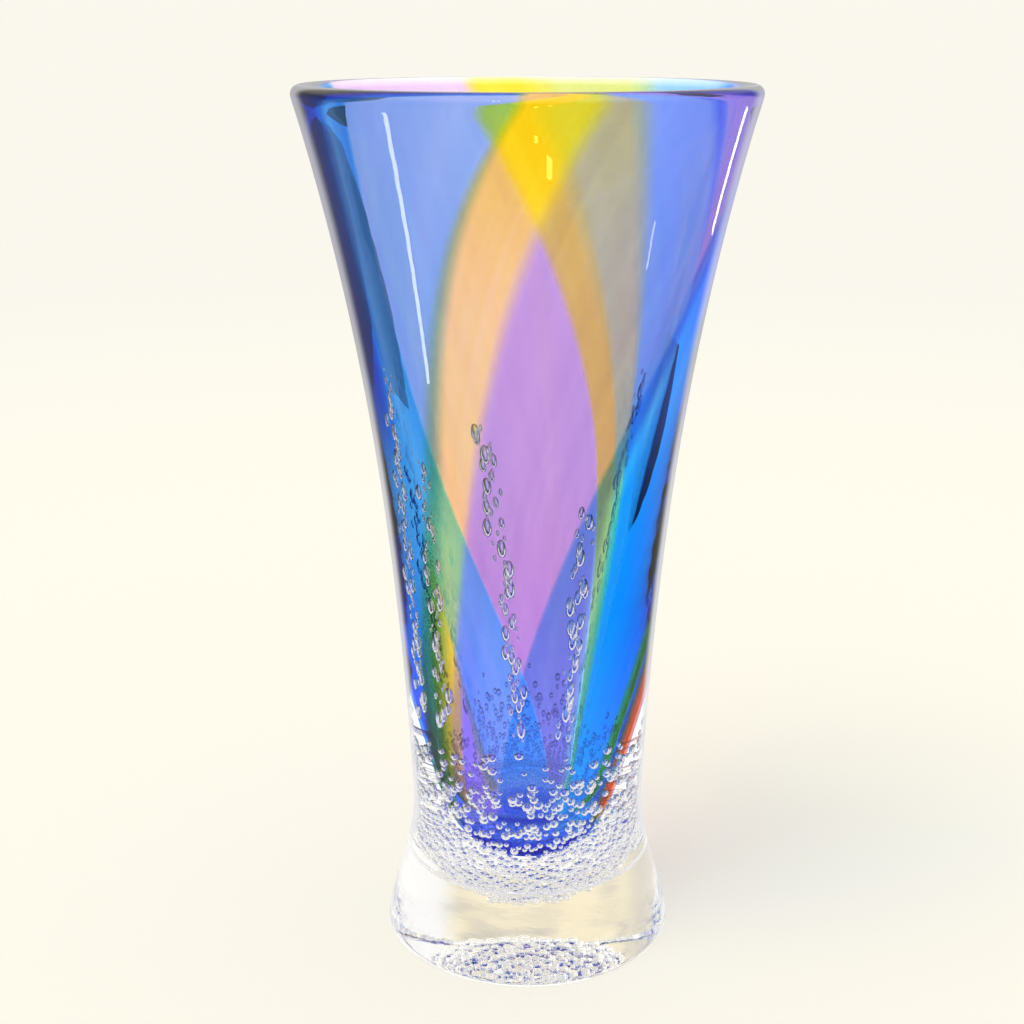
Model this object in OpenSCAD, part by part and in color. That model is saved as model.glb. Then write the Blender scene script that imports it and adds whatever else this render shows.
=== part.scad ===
// Blown glass vase: a clear trumpet on a clear foot, cased over a tall coloured cup,
// with a bowl of trapped bubbles round the cup's end. Millimetres, +Z up, the table at z = 0.
// Angles round the vase are taken from the front (-Y) and grow towards the right (+X).

/* [Whole vase] */
// Height from the table to the top of the lip
vase_h = 305; // [275:1:335]
// Outer radius of the lip
rim_r = 77.2; // [72:0.1:84]
// Thickness of the whole wall at the lip
lip_t = 7.6; // [7:0.1:9]
// Rounding of the lip's two edges
lip_round = 3; // [2:0.1:3.2]
// Depth of solid lip above the ends of the inner layers
lip_cover = 3; // [2.8:0.1:8]

/* [Flared body] */
// Outer radius at the waist, just above the foot
waist_r = 42.3; // [40:0.1:46]
// Height of the waist above the seam with the foot
waist_rise = 21.5; // [16:0.5:28]
// Radius that the lower third of the flare leans to
flare_low_r = 45.7; // [44:0.1:48]
// Radius that the upper third of the flare leans to
flare_high_r = 54; // [52.5:0.1:58]
// Rounding of the body's bottom edge at the seam
seam_round = 1.6; // [0.8:0.1:2.4]

/* [Foot] */
// Radius of the foot where it stands
foot_r = 52.6; // [48:0.1:58]
// Radius of the foot and the body where they meet
seam_r = 44.8; // [43:0.1:47]
// Height of the seam between the foot and the body
foot_h = 31.5; // [26:0.5:36]
// Rounding of the foot's standing edge
foot_round = 1.4; // [0.6:0.1:2.4]
// Clear glass left under the bubble bowl
foot_floor = 11; // [8:0.5:14]

/* [Blown core] */
// Wall of the blown core round the hollow
core_t = 1.8; // [1.4:0.1:2.4]
// Thickness of the core under the hollow
core_floor = 13; // [8:0.5:16]
// Outer radius of the core where its round end meets the straight wall
heel_r = 20; // [17:0.5:22]
// Height of the core's round end
heel_rise = 27; // [22:0.5:32]
// Height of the hollow's round floor
hollow_rise = 16; // [12:0.5:20]

/* [Colour] */
// Thickness of the colour laid on the core
colour_t = 0.9; // [0.7:0.05:1.2]
// Height of the cobalt cap over the core's round end
cap_rise = 12; // [8:0.5:16]
// Space between neighbouring stripes
stripe_gap = 0.3; // [0.2:0.05:0.6]

/* [Bubbles] */
// Clear glass between the colour and the bubbles under the core
gather_floor = 17; // [12:0.5:20]
// Clear glass outside the bubbles at the waist
waist_wall = 8.6; // [6:0.1:10]
// Height over which the bubble bowl rounds out to its full radius
bowl_rise = 34; // [30:0.5:40]
// Height at which the second gather ends up the wall
gather_top = 230; // [200:1:240]
// Thickness of the second gather where it ends
gather_edge = 1; // [0.8:0.1:1.4]
// Depth of the layer that the carpet of bubbles lies in
carpet_gap = 3.2; // [2.6:0.1:3.6]
// Height at which the carpet of bubbles ends
carpet_top = 88; // [76:1:96]
// Height over which the carpet thins out
carpet_fade = 34; // [24:1:40]
// Distance between neighbouring bubbles low in the carpet
bubble_pitch = 7; // [6:0.1:8]
// How far a bubble strays from its place in the carpet
bubble_stray = 0.9; // [0:0.1:1.2]
// Clearance round a bubble
bubble_clear = 0.2; // [0.1:0.05:0.3]
// Smallest bubble
bubble_min = 1; // [0.8:0.1:1.4]
// Depth of the trails that the rising bubbles lie in, where they leave the carpet
trail_gap = 2.2; // [1.8:0.1:2.4]
// Depth of the trails at the second gather's end
trail_end = 1.4; // [1.2:0.1:1.8]
// Width of a trail round the vase, in degrees
trail_turn = 5.6; // [5:0.1:7]
// Distance between neighbouring bubbles in a stream
stream_pitch = 7.5; // [6.5:0.1:10]
// How many times taller than wide a rising bubble is
stream_stretch = 1.8; // [1.4:0.1:2]

/* [Fusing] */
// Space between glass layers that are fused together
fuse_gap = 0.05; // [0.03:0.01:0.08]

/* [Hidden] */
$fn = 96;

// Angle of each stripe's leading edge at the lip, one and two thirds of the way down, and at the core's heel
stripe_edges = [
    [-108, -109, -131.5, -202], [0, -29, -44, -76], [19, -10.5, -33, -68], [97, 50, 10, -24],
    [160, 137.5, 109.5, 74], [198.5, 163.5, 126, 82], [252, 251, 228.5, 158]
];
// Angle of each stream of bubbles, and how far it rises from the carpet to the second gather's end
streams = [[-62, 0.95], [-10, 0.84], [22, 0.63], [119, 0.84], [-46, 0.72]];
function stream_top(stream) = carpet_top + stream[1] * (gather_top - carpet_top);

// Steps along a curve, along the flare and along a stripe
curve_steps = 12;
flare_steps = 24;
stripe_steps = 40;
// A stripe's widest facet, and the spare turn that keeps its facets off the core, in degrees
facet_turn = 8;
facet_spare = 0.3;
// How far a round end runs flat and how far it runs straight, as shares of its radius and height
end_flat = 0.6;
end_straight = 0.55;
// Lean of the foot's lower third, as a share of its mean lean
foot_swell = 0.5;
// How far the carpet's spacing opens out towards its top
carpet_spread = 0.9;
bubble_seed = 7;
bubble_sides = 32;
// Least share of its layer that a bubble fills
bubble_least = 0.82;

// Heights of the layers under the core, from the table up
bowl_low = foot_floor + carpet_gap;
cap_low = bowl_low + gather_floor + fuse_gap;
core_low = cap_low + colour_t + fuse_gap;
hollow_low = core_low + core_floor;
waist_z = foot_h + waist_rise;
heel_z = core_low + heel_rise;
bowl_z = bowl_low + bowl_rise;
cap_top = cap_low + cap_rise;
layer_top = vase_h - lip_cover;
trail_low = carpet_top - carpet_fade / 2;
bowl_r = waist_r - waist_wall - carpet_gap;

// The core's straight wall leans out by this much for each millimetre of height
core_lean = (rim_r - lip_t + core_t - heel_r) / (vase_h - heel_z);
level = sqrt(1 + core_lean * core_lean);
function core_r(z) = heel_r + core_lean * (z - heel_z);
function hollow_r(z) = core_r(z) - core_t * level;

function bezier(p, t) =
    pow(1 - t, 3) * p[0] + 3 * t * pow(1 - t, 2) * p[1] + 3 * t * t * (1 - t) * p[2] + pow(t, 3) * p[3];
function curve(p, first = 0) = [for (i = [first : curve_steps]) bezier(p, i / curve_steps)];
function arc(c, r, from, to) =
    [for (i = [0 : curve_steps]) let (a = from + (to - from) * i / curve_steps) c + r * [cos(a), sin(a)]];
function backwards(pts) = [for (i = [len(pts) - 1 : -1 : 0]) pts[i]];
function below(pts, z) = [for (p = pts) if (p[1] < z) p];
function above(pts, z) = [for (p = pts) if (p[1] > z) p];

// Radius of a profile at a height, and the profile cut off at a height
function radius_at(pts, z) = lookup(z, [for (p = pts) [p[1], p[0]]]);
function up_to(pts, z) = concat(below(pts, z), [[radius_at(pts, z), z]]);
function from_z(pts, z) = concat([[radius_at(pts, z), z]], above(pts, z));

// A profile moved outwards; its foot stays on the axis and its head at its height
function outwards(pts, i) =
    i == 0 ? [0, -1] :
    let (last = i == len(pts) - 1, run = last ? pts[i] - pts[i - 1] : pts[i + 1] - pts[i - 1])
    last ? [norm(run) / run[1], 0] : [run[1], -run[0]] / norm(run);
function grown(pts, by) = [for (i = [0 : len(pts) - 1]) pts[i] + by * outwards(pts, i)];
function grown_each(pts, by) = [for (i = [0 : len(pts) - 1]) pts[i] + by[i] * outwards(pts, i)];

// The round end of a cup: flat on the axis, and turned into the wall's own lean at the top
function round_end(low, top, lean) = let (straight = end_straight * (top[1] - low))
    curve([[0, low], [end_flat * top[0], low], top - straight * [lean, 1], top]);

// Profiles of the core, of the hollow in it, and of the colour laid over it
core_side = concat(round_end(core_low, [heel_r, heel_z], core_lean), [[core_r(layer_top), layer_top]]);
hollow_z = hollow_low + hollow_rise;
hollow_end = round_end(hollow_low, [hollow_r(hollow_z), hollow_z], core_lean);
colour_in = grown(core_side, fuse_gap);
colour_out = grown(core_side, fuse_gap + colour_t);
cased_in = grown(core_side, 2 * fuse_gap + colour_t);

// Profile of the second gather, whose lower part carries the bubbles
gather_top_r = radius_at(cased_in, gather_top) + gather_edge * level;
bowl_third = (gather_top - bowl_z) / 3;
bowl_side = concat(
    round_end(bowl_low, [bowl_r, bowl_z], 0),
    curve([
        [bowl_r, bowl_z],
        [bowl_r, bowl_z + bowl_third],
        [gather_top_r - core_lean * bowl_third, gather_top - bowl_third],
        [gather_top_r, gather_top]
    ], 1)
);
function eased(x) = let (t = min(1, max(0, x))) t * t * (3 - 2 * t);
function layer_gap(z) = fuse_gap + (carpet_gap - fuse_gap) * eased((carpet_top - z) / carpet_fade);
bowl_out = grown_each(bowl_side, [for (p = bowl_side) layer_gap(p[1])]);
bowl_mid = grown_each(bowl_side, [for (p = bowl_side) layer_gap(p[1]) / 2]);

// Outer profile of the body, from the seam to the start of the rounded lip
lip_z = vase_h - lip_round;
flare_third = (lip_z - waist_z) / 3;
waist_lean = (flare_low_r - waist_r) / flare_third;
lip_tilt = atan((rim_r - flare_high_r) / flare_third);
hollow_tilt = atan(core_lean);
lip_outer = [rim_r - lip_round, lip_z];
lip_inner = [hollow_r(lip_z + lip_round * sin(hollow_tilt)) + lip_round * cos(hollow_tilt), lip_z];
flare = [
    [waist_r, waist_z],
    [flare_low_r, waist_z + flare_third],
    [flare_high_r, waist_z + 2 * flare_third],
    lip_outer + lip_round * [cos(lip_tilt), -sin(lip_tilt)]
];
seam_lean = (foot_r - seam_r) / foot_h;
waist_curve = curve([
    [seam_r, foot_h],
    [seam_r - seam_lean * waist_rise / 3, foot_h + waist_rise / 3],
    [waist_r - waist_lean * waist_rise / 3, waist_z - waist_rise / 3],
    [waist_r, waist_z]
]);
body_side = concat(
    arc([radius_at(waist_curve, foot_h + seam_round) - seam_round, foot_h + seam_round], seam_round, -90, 0),
    above(waist_curve, foot_h + seam_round),
    [for (i = [1 : flare_steps - 1]) bezier(flare, i / flare_steps)],
    arc(lip_outer, lip_round, -lip_tilt, 90),
    arc(lip_inner, lip_round, 90, 180 - hollow_tilt)
);

// Outer profile of the foot, from its standing edge to the seam
foot_third = foot_h / 3;
foot_side = concat(
    arc([foot_r - foot_round, foot_round], foot_round, -90, 0),
    curve([
        [foot_r, foot_round],
        [foot_r - foot_swell * seam_lean * foot_third, foot_third],
        [seam_r + seam_lean * foot_third, foot_h - foot_third],
        [seam_r, foot_h - fuse_gap]
    ], 1)
);

module turned(pts) {
    rotate_extrude()
        polygon(pts);
}

// Places what follows on the bowl, at an angle, a radius and a height
module around(turn, r, z) {
    rotate([0, 0, turn - 90])
        translate([r, 0, z])
            children();
}

module inner_gather() {
    color("aliceblue", 0.5)
        turned(concat(core_side, [[hollow_r(layer_top), layer_top]], backwards(hollow_end)));
}

// One stripe of colour: a thin twisted band whose facets stay outside the core
module colour_stripe(k, tint) {
    from = stripe_edges[k];
    to = stripe_edges[k + 1];
    low = cap_top + stripe_gap;
    function height(i) = low + (layer_top - fuse_gap - low) * i / stripe_steps;
    // A smooth curve through the edge's four angles
    function edge_turn(e, i) = let (s = 3 * (vase_h - height(i)) / (vase_h - heel_z))
        e[1] * s * (s - 2) * (s - 3) / 2 - e[0] * (s - 1) * (s - 2) * (s - 3) / 6
        + e[3] * s * (s - 1) * (s - 2) / 6 - e[2] * s * (s - 1) * (s - 3) / 2;
    widest = max([for (i = [0 : stripe_steps]) edge_turn(to, i) - edge_turn(from, i)]);
    across = ceil(widest / facet_turn);
    row = across + 1;
    sheet = row * (stripe_steps + 1);
    clear = cos(facet_turn / 2 + facet_spare);
    function turn(i, j) =
        let (a = edge_turn(from, i), b = edge_turn(to, i))
        let (edge = stripe_gap / 2 / radius_at(colour_in, height(i)) * 180 / PI)
        a + edge + (b - a - 2 * edge) * j / across - 90;
    function spot(r, i, j) = [r * cos(turn(i, j)), r * sin(turn(i, j)), height(i)];
    points = [
        for (i = [0 : stripe_steps], j = [0 : across]) spot(radius_at(colour_in, height(i)) / clear, i, j),
        for (i = [0 : stripe_steps], j = [0 : across]) spot(radius_at(colour_out, height(i)), i, j)
    ];
    function at(i, j, side) = side * sheet + i * row + j;
    function quad(a, b, c, d) = [[a, b, c], [b, d, c]];
    faces = [
        for (i = [0 : stripe_steps - 1], j = [0 : across - 1])
            each quad(at(i, j, 0), at(i, j + 1, 0), at(i + 1, j, 0), at(i + 1, j + 1, 0)),
        for (i = [0 : stripe_steps - 1], j = [0 : across - 1])
            each quad(at(i, j + 1, 1), at(i, j, 1), at(i + 1, j + 1, 1), at(i + 1, j, 1)),
        for (i = [0 : stripe_steps - 1])
            each quad(at(i, 0, 1), at(i, 0, 0), at(i + 1, 0, 1), at(i + 1, 0, 0)),
        for (i = [0 : stripe_steps - 1])
            each quad(at(i, across, 0), at(i, across, 1), at(i + 1, across, 0), at(i + 1, across, 1)),
        for (j = [0 : across - 1])
            each quad(at(0, j, 1), at(0, j + 1, 1), at(0, j, 0), at(0, j + 1, 0)),
        for (j = [0 : across - 1])
            each quad(
                at(stripe_steps, j, 0), at(stripe_steps, j + 1, 0),
                at(stripe_steps, j, 1), at(stripe_steps, j + 1, 1)
            )
    ];
    color(tint, 0.6)
        polyhedron(points, faces);
}

module cobalt_cap() {
    color("mediumblue", 0.8)
        turned(concat(up_to(colour_out, cap_top), backwards(up_to(colour_in, cap_top))));
}

module second_gather() {
    color("aliceblue", 0.3)
        turned(concat(bowl_side, backwards(up_to(cased_in, gather_top))));
}

module bubble(d) {
    sphere(d = d, $fn = bubble_sides);
}

// Distance from a profile's point to the next, and of each point from the profile's start
function step(pts, i) = i + 1 < len(pts) ? norm(pts[i + 1] - pts[i]) : 0;
function travel(pts) = [for (i = 0, s = 0; i < len(pts); s = s + step(pts, i), i = i + 1) s];

// Rings of bubbles on the bowl between two heights, closer together and larger towards its bottom
module bubble_rings(low, high) {
    lengths = travel(bowl_mid);
    along_r = [for (i = [0 : len(bowl_mid) - 1]) [lengths[i], bowl_mid[i][0]]];
    along_z = [for (i = [0 : len(bowl_mid) - 1]) [lengths[i], bowl_mid[i][1]]];
    along = [for (i = [0 : len(bowl_mid) - 1]) [bowl_mid[i][1], lengths[i]]];
    first = ceil(lookup(low, along) / bubble_pitch);
    last = ceil(lookup(high, along) / bubble_pitch) - 1;
    color("white", 0.8)
        for (i = [first : last]) {
            s = i * bubble_pitch;
            z = lookup(s, along_z);
            spread = bubble_pitch * (1 + carpet_spread * (z - bowl_low) / (carpet_top - bowl_low));
            count = max(1, floor(2 * PI * lookup(s, along_r) / spread));
            chance = rands(0, 1, 3 * count, bubble_seed + i);
            for (j = [0 : count - 1]) {
                drift = i == 0 ? 0 : bubble_stray * (2 * chance[3 * j] - 1);
                along_s = s + drift;
                r = lookup(along_s, along_r);
                fill = bubble_least + (1 - bubble_least) * chance[3 * j + 1];
                d = fill * (layer_gap(lookup(along_s, along_z)) - 2 * bubble_clear);
                slip = i == 0 ? 0 : bubble_stray * (2 * chance[3 * j + 2] - 1) / r * 180 / PI;
                if (d > bubble_min)
                    around(360 * (j + i / 2) / count + slip, r, lookup(along_s, along_z))
                        bubble(d);
            }
        }
}

// Depth of a trail, which gets shallower up the wall
function trail_depth(z) = let (up = (z - carpet_top) / (gather_top - carpet_top))
    trail_gap + (trail_end - trail_gap) * max(0, up);
trail_out = grown_each(bowl_side, [for (p = bowl_side) trail_depth(p[1])]);
trail_mid = grown_each(bowl_side, [for (p = bowl_side) trail_depth(p[1]) / 2]);

// A trail in the casing's inner face, from the carpet to a stream's top
module trail(stream) {
    inner = up_to(from_z(bowl_side, trail_low), stream_top(stream));
    outer = up_to(from_z(trail_out, trail_low), stream_top(stream));
    rotate([0, 0, stream[0] - trail_turn / 2 - 90])
        rotate_extrude(angle = trail_turn)
            polygon(concat(inner, backwards(outer)));
}

// Tall bubbles rising in a trail, smaller towards its top
module bubble_stream(stream) {
    tall = (trail_gap - 2 * bubble_clear) * stream_stretch;
    low = carpet_top + tall / 2;
    count = floor((stream_top(stream) - tall / 2 - low) / stream_pitch);
    color("white", 0.8)
        for (i = [0 : count]) {
            z = low + i * stream_pitch;
            d = trail_depth(z) - 2 * bubble_clear;
            lean = atan((radius_at(trail_mid, z + d) - radius_at(trail_mid, z - d)) / (2 * d));
            around(stream[0], radius_at(trail_mid, z), z)
                rotate([0, lean, 0])
                    scale([1, 1, stream_stretch])
                        bubble(d);
        }
}

module clear_casing() {
    inside = concat(
        from_z(up_to(bowl_out, gather_top), foot_h),
        [[gather_top_r + fuse_gap, gather_top + fuse_gap]],
        from_z(up_to(cased_in, layer_top), gather_top + fuse_gap),
        [[hollow_r(layer_top), layer_top]]
    );
    color("azure", 0.3)
        difference() {
            turned(concat(body_side, backwards(inside)));
            for (stream = streams)
                trail(stream);
        }
}

module foot() {
    color("azure", 0.3)
        turned(concat([[0, 0]], foot_side, backwards(up_to(bowl_out, foot_h - fuse_gap))));
}

inner_gather();
colour_stripe(0, "lightskyblue");  // sky_blue_stripe_1
colour_stripe(1, "gold");  // yellow_stripe_1
colour_stripe(2, "plum");  // lilac_stripe_1
colour_stripe(3, "lightskyblue");  // sky_blue_stripe_2
colour_stripe(4, "gold");  // yellow_stripe_2
colour_stripe(5, "plum");  // lilac_stripe_2
cobalt_cap();
second_gather();
bubble_rings(0, foot_h);  // bubble_floor
bubble_rings(foot_h, carpet_top);  // bubble_collar
bubble_stream(streams[0]);  // bubble_stream_1
bubble_stream(streams[1]);  // bubble_stream_2
bubble_stream(streams[2]);  // bubble_stream_3
bubble_stream(streams[3]);  // bubble_stream_4
bubble_stream(streams[4]);  // bubble_stream_5
clear_casing();
foot();
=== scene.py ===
import math

import bmesh
import bpy
import numpy as np
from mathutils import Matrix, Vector


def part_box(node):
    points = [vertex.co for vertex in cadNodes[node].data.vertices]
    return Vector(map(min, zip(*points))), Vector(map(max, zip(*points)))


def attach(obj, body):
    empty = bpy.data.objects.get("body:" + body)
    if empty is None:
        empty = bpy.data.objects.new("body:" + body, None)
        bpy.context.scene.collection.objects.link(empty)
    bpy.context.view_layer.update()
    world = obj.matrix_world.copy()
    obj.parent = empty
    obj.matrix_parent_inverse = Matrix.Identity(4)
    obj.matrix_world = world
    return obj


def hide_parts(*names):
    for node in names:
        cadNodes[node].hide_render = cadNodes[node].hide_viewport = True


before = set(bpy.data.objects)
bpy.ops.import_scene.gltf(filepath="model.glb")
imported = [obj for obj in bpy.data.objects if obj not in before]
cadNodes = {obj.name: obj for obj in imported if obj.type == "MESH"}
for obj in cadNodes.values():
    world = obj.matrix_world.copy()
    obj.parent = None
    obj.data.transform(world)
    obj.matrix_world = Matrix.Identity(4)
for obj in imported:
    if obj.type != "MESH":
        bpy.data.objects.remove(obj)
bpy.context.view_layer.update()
scene = bpy.context.scene
mm = 0.001
tiny = 1e-7                  # metres; spots closer than this are one
onAxis = 1e-6                # metres; a smaller radius counts as the axis
plainWhite = (1, 1, 1, 1)


# camera and stage

photoView = {
    "place": (0, -0.5467, 0.3239),
    "lookDown": 16.84,       # degrees below level
    "lens": 56.81,
    "axisPixel": 527.5,      # column of the photo that the vase's axis falls on
    "imageWidth": 1024,
}

eye = bpy.data.cameras.new("photoEye")
eye.lens = photoView["lens"]
eye.sensor_width = 36
eye.shift_x = 0.5 - photoView["axisPixel"] / photoView["imageWidth"]
eyeObject = bpy.data.objects.new("photoEye", eye)
eyeObject.location = photoView["place"]
eyeObject.rotation_euler = (math.radians(90 - photoView["lookDown"]), 0, 0)
scene.collection.objects.link(eyeObject)
scene.camera = eyeObject

scene.view_settings.view_transform = "Standard"
scene.cycles.max_bounces = 32
scene.cycles.transmission_bounces = 32
scene.cycles.glossy_bounces = 16
scene.cycles.transparent_max_bounces = 96


def newTree(material):
    material.use_nodes = True
    tree = material.node_tree
    tree.nodes.clear()
    return tree


def addNode(tree, kind, **values):
    node = tree.nodes.new(kind)
    for key, value in values.items():
        setattr(node, key, value)
    return node


def setInputs(node, **values):
    for key, value in values.items():
        node.inputs[key.replace("_", " ")].default_value = value
    return node


def feed(tree, value, socket):
    # a number or colour is set on the socket, another node's output is linked to it
    if isinstance(value, bpy.types.NodeSocket):
        tree.links.new(value, socket)
    else:
        socket.default_value = value


def mathNode(tree, operation, *values):
    node = addNode(tree, "ShaderNodeMath", operation=operation)
    for value, socket in zip(values, node.inputs):
        feed(tree, value, socket)
    return node.outputs[0]


def mapRange(tree, value, fromMin, fromMax, toMin=0.0, toMax=1.0, kind="SMOOTHSTEP"):
    node = addNode(tree, "ShaderNodeMapRange", interpolation_type=kind)
    labels = ("Value", "From Min", "From Max", "To Min", "To Max")
    for label, entry in zip(labels, (value, fromMin, fromMax, toMin, toMax)):
        feed(tree, entry, node.inputs[label])
    return node.outputs["Result"]


def mixColour(tree, factor, a, b):
    node = addNode(tree, "ShaderNodeMix", data_type="RGBA")
    for label, entry in (("Factor", factor), ("A", a), ("B", b)):
        feed(tree, entry, node.inputs[label])
    return node.outputs["Result"]


def mixShader(tree, factor, a, b):
    node = addNode(tree, "ShaderNodeMixShader")
    for entry, socket in zip((factor, a, b), node.inputs):
        tree.links.new(entry, socket)
    return node.outputs[0]


def glowing(tree, colour, strength, kind="ShaderNodeEmission"):
    node = addNode(tree, kind)
    feed(tree, colour, node.inputs["Color"])
    feed(tree, strength, node.inputs["Strength"])
    return node.outputs[0]


def axesOf(tree, place):
    split = addNode(tree, "ShaderNodeSeparateXYZ")
    tree.links.new(place, split.inputs[0])
    return split.outputs


def surfaceOut(tree, shader, kind="ShaderNodeOutputMaterial"):
    tree.links.new(shader, addNode(tree, kind).inputs["Surface"])


def makeGroup(name, inputs, outputs):
    tree = bpy.data.node_groups.new(name, "ShaderNodeTree")
    for label, kind, value in inputs:
        socket = tree.interface.new_socket(label, in_out="INPUT", socket_type=kind)
        socket.default_value = value
    for label, kind in outputs:
        tree.interface.new_socket(label, in_out="OUTPUT", socket_type=kind)
    return tree, tree.nodes.new("NodeGroupInput"), tree.nodes.new("NodeGroupOutput")


def useGroup(tree, group, **values):
    node = addNode(tree, "ShaderNodeGroup", node_tree=group)
    return setInputs(node, **values)


# studio: a pale floor, a white room, a dim room on the reflections

studio = {
    "floorSize": 60,
    "floorDrop": 0.2 * mm,
    "floorColour": (0.80, 0.78, 0.71, 1),
    "floorGlow": 0.28,
    "floorFades": (0.45, 1.6),       # metres from the vase, over which the floor turns into the wall
    "throughFades": (0.02, 0.08),    # over which it is bright through the glass
    "mirrorFades": (0.1, 0.3),       # and over which it has its own light in reflections
    "mirrorAcross": (-0.4, 0.4),
    "mirrorSides": (0.3, 0.35),
    "mirrorAhead": (-0.1, 0.25),
    "mirrorFront": 0.08,
    "roomColour": (1.0, 0.975, 0.89, 1),
    "throughColour": (1.0, 0.99, 0.975, 1),
    "creamColour": (1.0, 0.89, 0.64, 1),
    "shadeColour": (0.70, 0.65, 0.54, 1),
    "cloudStretch": (0.7, 0.7, 12),
    "cloudShare": (0.48, 0.72),
    "shadeLeft": (-0.7, -0.42),      # these five are parts of a direction, from -1 to 1
    "whiteRight": (0.3, 0.5),
    "whiteLow": (0.15, 0.4),
    "footRise": (0.0, 0.25),
    "overheadRise": (0.15, 0.55),
    "throughLight": 1.3,
    "footLight": 1.0,
    "roomLight": 0.62,
    "seenLight": 0.96,
    "mirrorLight": 0.3,
    "overheadLight": 1.1,
}


def makeFloor():
    half = studio["floorSize"] / 2
    drop = -studio["floorDrop"]
    mesh = bpy.data.meshes.new("floor")
    corners = [(-half, -half, drop), (half, -half, drop), (half, half, drop), (-half, half, drop)]
    mesh.from_pydata(corners, [], [(0, 1, 2, 3)])
    floor = bpy.data.objects.new("floor", mesh)
    scene.collection.objects.link(floor)
    material = bpy.data.materials.new("paleTable")
    tree = newTree(material)
    link = tree.links.new
    path = addNode(tree, "ShaderNodeLightPath")
    place = addNode(tree, "ShaderNodeTexCoord").outputs["Object"]
    spot = axesOf(tree, place)
    reach = addNode(tree, "ShaderNodeVectorMath", operation="LENGTH")
    link(place, reach.inputs[0])
    away = reach.outputs["Value"]
    # the table turns into the wall
    table = setInputs(addNode(tree, "ShaderNodeBsdfDiffuse"), Color=studio["floorColour"])
    both = addNode(tree, "ShaderNodeAddShader")
    link(table.outputs[0], both.inputs[0])
    link(glowing(tree, studio["roomColour"], studio["floorGlow"]), both.inputs[1])
    wall = glowing(tree, studio["roomColour"], studio["seenLight"])
    shown = mixShader(tree, mapRange(tree, away, *studio["floorFades"]), both.outputs[0], wall)
    # in reflections it is dark in front and grey at the back
    sides = mapRange(tree, spot["X"], *studio["mirrorAcross"], *studio["mirrorSides"])
    front = mapRange(tree, spot["Y"], *studio["mirrorAhead"], studio["mirrorFront"])
    dark = glowing(tree, studio["roomColour"], mathNode(tree, "MULTIPLY", sides, front))
    darkFade = mapRange(tree, away, *studio["mirrorFades"])
    darkShare = mathNode(tree, "MULTIPLY", darkFade, path.outputs["Is Glossy Ray"])
    shown = mixShader(tree, darkShare, shown, dark)
    # through the glass it is bright
    bright = glowing(tree, studio["throughColour"], studio["throughLight"])
    brightFade = mapRange(tree, away, *studio["throughFades"])
    brightShare = mathNode(tree, "MULTIPLY", brightFade, path.outputs["Is Transmission Ray"])
    surfaceOut(tree, mixShader(tree, brightShare, shown, bright))
    mesh.materials.append(material)


def makeRoom():
    world = bpy.data.worlds.new("whiteRoom")
    scene.world = world
    tree = newTree(world)
    link = tree.links.new
    path = addNode(tree, "ShaderNodeLightPath")
    place = addNode(tree, "ShaderNodeTexCoord").outputs["Generated"]
    way = axesOf(tree, place)

    def light(colour, strength):
        return glowing(tree, colour, strength, "ShaderNodeBackground")

    # through the glass: cream with soft shade, more of it on the left, and white on the right and low down
    stretch = addNode(tree, "ShaderNodeMapping")
    stretch.inputs["Scale"].default_value = studio["cloudStretch"]
    cloud = setInputs(addNode(tree, "ShaderNodeTexNoise"), Scale=4.0, Detail=1.0)
    link(place, stretch.inputs["Vector"])
    link(stretch.outputs["Vector"], cloud.inputs["Vector"])
    shade = mapRange(tree, cloud.outputs["Fac"], *studio["cloudShare"], kind="LINEAR")
    shade = mathNode(tree, "MAXIMUM", shade, mapRange(tree, way["X"], *studio["shadeLeft"], 1.0, 0.0))
    white = mapRange(tree, way["Z"], *studio["whiteLow"], 1.0, 0.0)
    white = mathNode(tree, "MAXIMUM", mapRange(tree, way["X"], *studio["whiteRight"]), white)
    cast = mixColour(tree, shade, studio["creamColour"], studio["shadeColour"])
    cast = mixColour(tree, white, cast, studio["throughColour"])
    rise = mapRange(tree, way["Z"], *studio["footRise"], studio["throughLight"], studio["footLight"])
    behind = light(cast, rise)
    rise = mapRange(tree, way["Z"], *studio["overheadRise"], studio["mirrorLight"], studio["overheadLight"])
    mirrored = light(studio["roomColour"], rise)
    shown = light(studio["roomColour"], studio["roomLight"])
    shown = mixShader(tree, path.outputs["Is Glossy Ray"], shown, mirrored)
    shown = mixShader(tree, path.outputs["Is Transmission Ray"], shown, behind)
    seen = light(studio["roomColour"], studio["seenLight"])
    surfaceOut(tree, mixShader(tree, path.outputs["Is Camera Ray"], shown, seen), "ShaderNodeOutputWorld")


makeFloor()
makeRoom()
print("stage ready")


# glass finishes

clearSkin = {
    "squash": (1, 1, 0.35),
    "cast": (0.985, 0.99, 0.985, 1),
    "veil": (0.97, 0.97, 0.97, 1),
    # the painted glow: its colour and strength, the bounces after which caught light is painted as glow, and
    # the facing, heights and share of the painted pale outer edge
    "paintedGlowColour": (0.93, 0.93, 0.95, 1), "glow": 0.9,
    "paintedGlowAfter": 8.5,              # bounces of the light inside the glass
    "paintedPaleFacing": (0.69, 0.83),
    "paintedPaleHeights": (0.16, 0.24),    # metres, between which the pale edge gets weaker
    "paintedPaleFlareShare": 0.6,
}


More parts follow.
